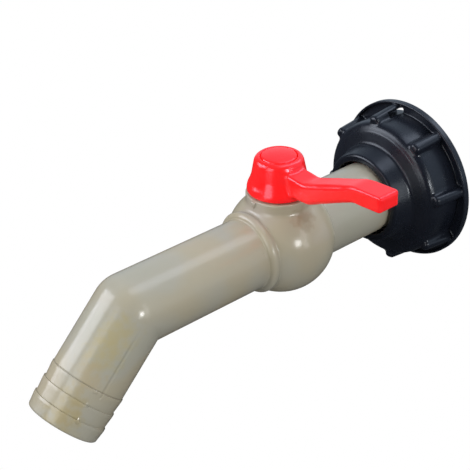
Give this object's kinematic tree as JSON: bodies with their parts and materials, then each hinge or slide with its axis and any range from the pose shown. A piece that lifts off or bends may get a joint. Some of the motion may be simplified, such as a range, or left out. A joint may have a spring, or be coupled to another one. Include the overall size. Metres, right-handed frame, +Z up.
{
  "type": "rain barrel tap",
  "caption": "Lever ball tap with a bent, toothed hose spout and a loose coupling nut for a coarse tank thread.",
  "frame": {"origin": "centre of the gasket's sealing face, on the axis of the inlet", "axes": "+X along the inlet towards the tank, +Z up along the stem, -Y the way the lever points when shut"},
  "size_m": [0.2267, 0.1093, 0.1018],
  "materials": {
    "tap_plastic": "gloss",
    "handle_plastic": "gloss",
    "nut_plastic": "satin gloss",
    "ball_plastic": "polished",
    "seat_plastic": "waxy",
    "rubber": "matte",
    "stem_steel": "turned",
    "screw_steel": "plated"
  },
  "bodies": {
    "casing": {"valve_body": "tap_plastic", "inlet_tube": "tap_plastic", "outlet_spout": "tap_plastic", "inlet_seat": "seat_plastic", "outlet_seat": "seat_plastic", "inlet_seat_oring": "rubber", "outlet_seat_oring": "rubber", "face_gasket": "rubber"},
    "rotor": {"handle": "handle_plastic", "handle_cap": "handle_plastic", "handle_screw": "screw_steel", "handle_washer": "screw_steel", "stem": "stem_steel", "thrust_washer": "seat_plastic", "stem_oring_lower": "rubber", "stem_oring_upper": "rubber", "ball": "ball_plastic"},
    "nut": {"coupling_nut": "nut_plastic"}
  },
  "joints": [
    {"name": "handle_turn", "type": "hinge", "parent": "casing", "child": "rotor", "pos_m": [-0.074, 0, 0], "axis": [0, 0, 1], "range_deg": [0, 90]},
    {"name": "nut_spin", "type": "hinge", "parent": "casing", "child": "nut", "pos_m": [0, 0, 0], "axis": [1, 0, 0], "continuous": true}
  ]
}
